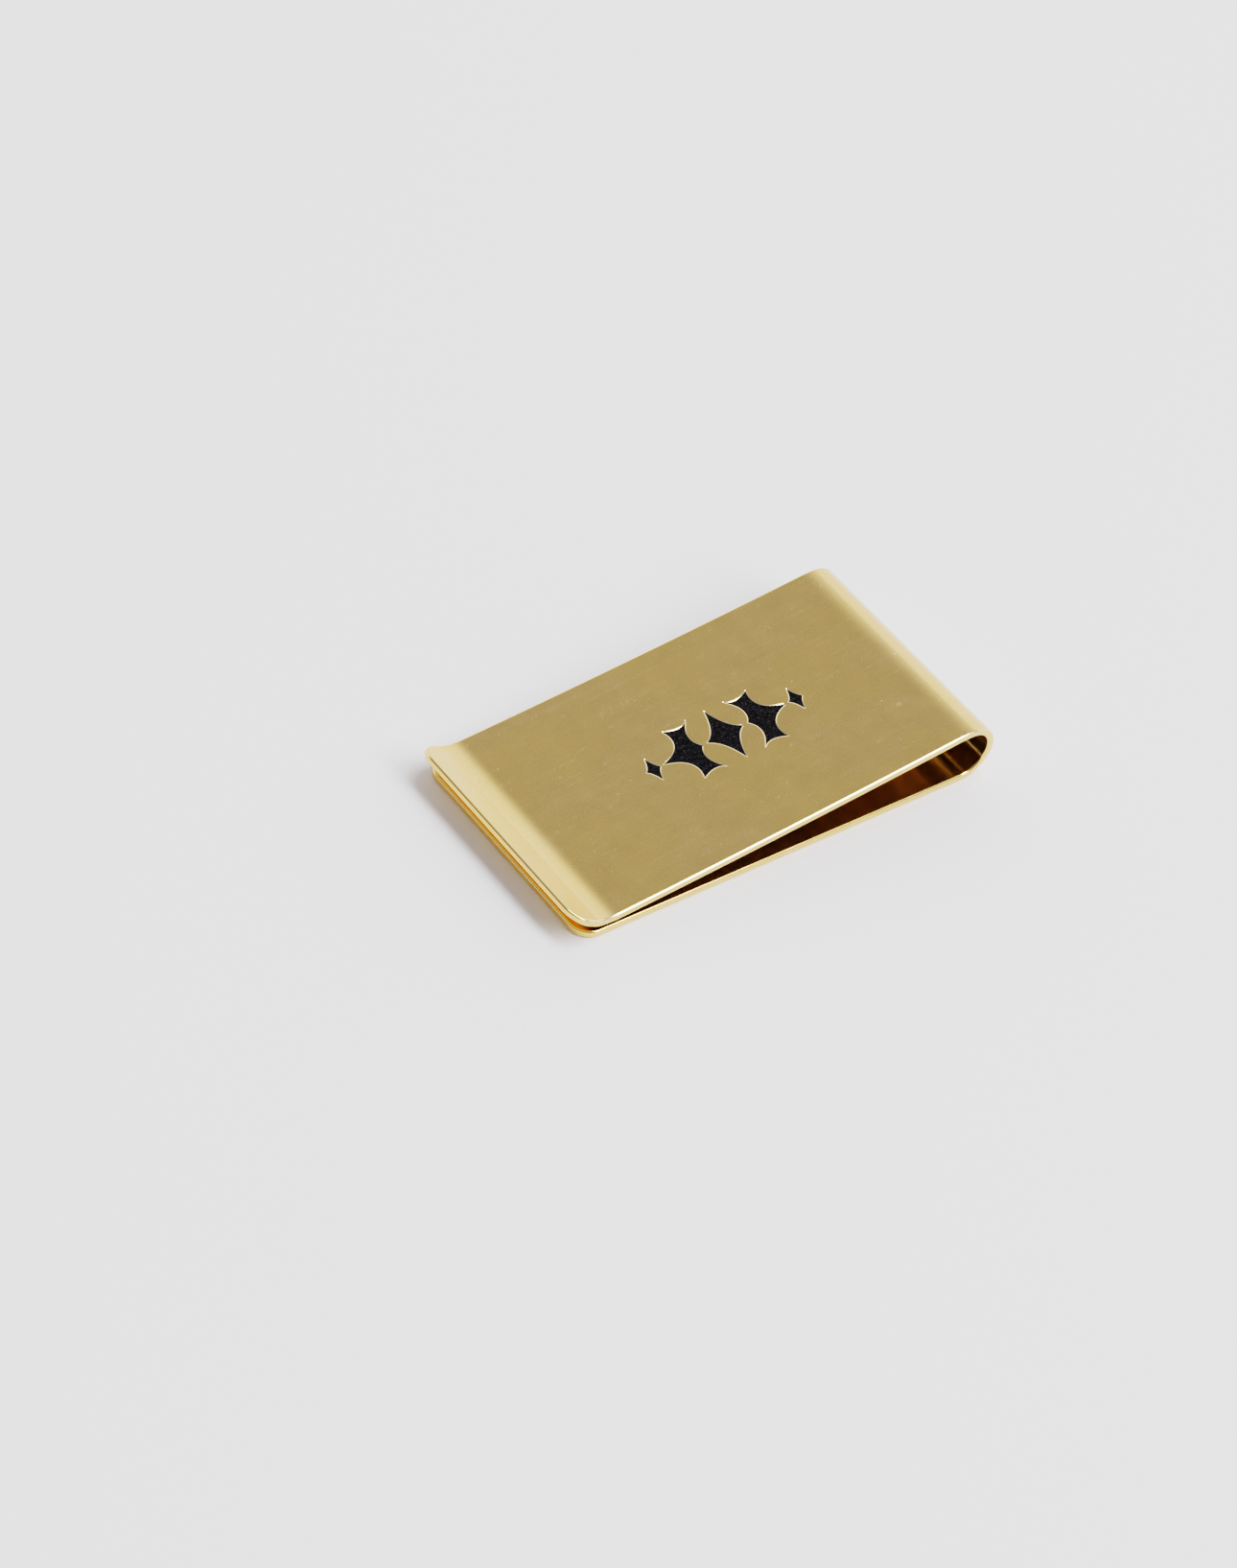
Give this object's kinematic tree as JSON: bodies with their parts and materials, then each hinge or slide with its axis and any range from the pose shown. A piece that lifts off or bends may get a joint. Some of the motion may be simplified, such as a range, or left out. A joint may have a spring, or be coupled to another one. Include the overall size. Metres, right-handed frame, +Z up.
{
  "type": "money clip",
  "caption": "Spring money clip: a gold-coloured metal strip folded into a U with a flared lip, its front leaf inlaid with a black enamel ornament.",
  "frame": {"origin": "on the resting surface, under the middle of the clip's length and width", "axes": "+X from the flared lip to the bend, +Y across the strip, +Z up from the back leaf to the front leaf"},
  "size_m": [0.056, 0.028, 0.0074],
  "materials": {
    "gold_metal": "polished gold-plated brass strip with a fine satin haze and hairline handling scratches",
    "black_enamel": "black hard enamel fill, lightly pitted, with a soft gloss"
  },
  "bodies": {
    "back": {"back_leaf": "gold_metal", "bend_back_half": "gold_metal"},
    "front": {"bend_front_half": "gold_metal", "front_leaf": "gold_metal", "flared_lip": "gold_metal", "enamel_star": "black_enamel", "enamel_bracket_lip_side": "black_enamel", "enamel_bracket_bend_side": "black_enamel", "enamel_lozenge_lip_side": "black_enamel", "enamel_lozenge_bend_side": "black_enamel"}
  },
  "joints": [
    {"name": "clip_open", "type": "hinge", "parent": "back", "child": "front", "pos_m": [0.028, 0, 0.0037], "axis": [0, 1, 0], "range_deg": [0, 8], "stiffness_Nm_per_rad": 4.4}
  ]
}
